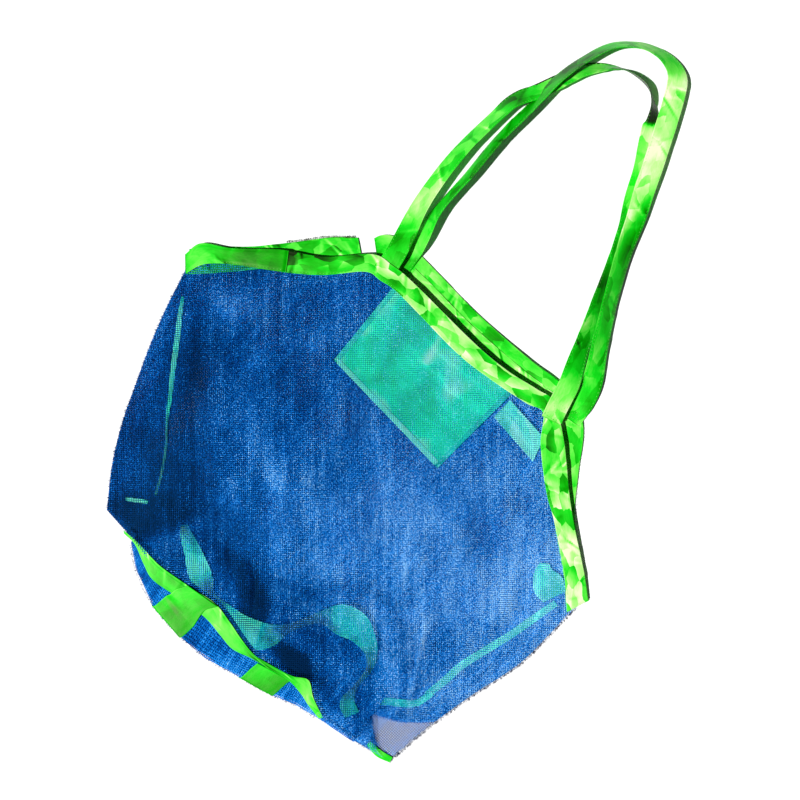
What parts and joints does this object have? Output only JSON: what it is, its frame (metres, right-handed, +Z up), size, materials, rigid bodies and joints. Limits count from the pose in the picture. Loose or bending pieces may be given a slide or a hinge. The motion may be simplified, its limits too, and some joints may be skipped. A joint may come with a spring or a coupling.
{
  "type": "collapsible mesh tote bag",
  "caption": "Large collapsible mesh beach tote lying flat: blue mesh panels, green satin rim bands, base tapes and straps, two ribbon carrying handles, an inner pocket and tab",
  "frame": {"origin": "middle of the resting face's bounding box, on the surface that the bag lies on", "axes": "+X along the mouth, +Y from the folded base towards the handles, +Z up from the surface"},
  "size_m": [0.634, 0.9087, 0.0347],
  "materials": {
    "mesh": "open net weave, see-through",
    "ribbon": "glossy satin, creased",
    "pocket_cloth": "thin satin",
    "thread": "sewing thread"
  },
  "bodies": {
    "bag": {"back_panel": "mesh", "front_panel": "mesh", "base_panel": "mesh", "rim_band_back": "ribbon", "rim_band_front": "ribbon", "side_seam_tape_left": "ribbon", "side_seam_tape_right": "ribbon", "base_tape_front": "ribbon", "base_tape_back": "ribbon", "base_tape_left": "ribbon", "base_tape_right": "ribbon", "base_strap_left": "ribbon", "base_strap_right": "ribbon", "handle_front_sewn_ends": "ribbon", "handle_back_sewn_ends": "ribbon", "handle_stitching": "thread"},
    "handle_front_loop": {"handle_front": "ribbon"},
    "handle_back_loop": {"handle_back": "ribbon"},
    "pocket": {"pocket_front": "pocket_cloth", "pocket_back": "pocket_cloth", "pocket_binding": "ribbon"},
    "tab": {"inner_tab": "ribbon"}
  },
  "joints": [
    {"name": "handle_front_swing", "type": "hinge", "parent": "bag", "child": "handle_front_loop", "pos_m": [-0.104, 0.066, 0.0195], "axis": [0.9959, -0.0905, 0], "range_deg": [0, 150]},
    {"name": "handle_back_swing", "type": "hinge", "parent": "bag", "child": "handle_back_loop", "pos_m": [-0.104, 0.066, 0.0195], "axis": [0.9959, -0.0905, 0], "range_deg": [0, 150]},
    {"name": "pocket_lift", "type": "hinge", "parent": "bag", "child": "pocket", "pos_m": [-0.091, 0.027, 0.0134], "axis": [-0.995, 0.1, 0], "range_deg": [0, 6]},
    {"name": "tab_lift", "type": "hinge", "parent": "bag", "child": "tab", "pos_m": [0.103, -0.007, 0.0055], "axis": [-0.129, -0.9916, 0], "range_deg": [0, 4]}
  ],
  "couplings": [
    {"joint": "handle_back_swing", "follows": "handle_front_swing", "ratio": 1}
  ]
}
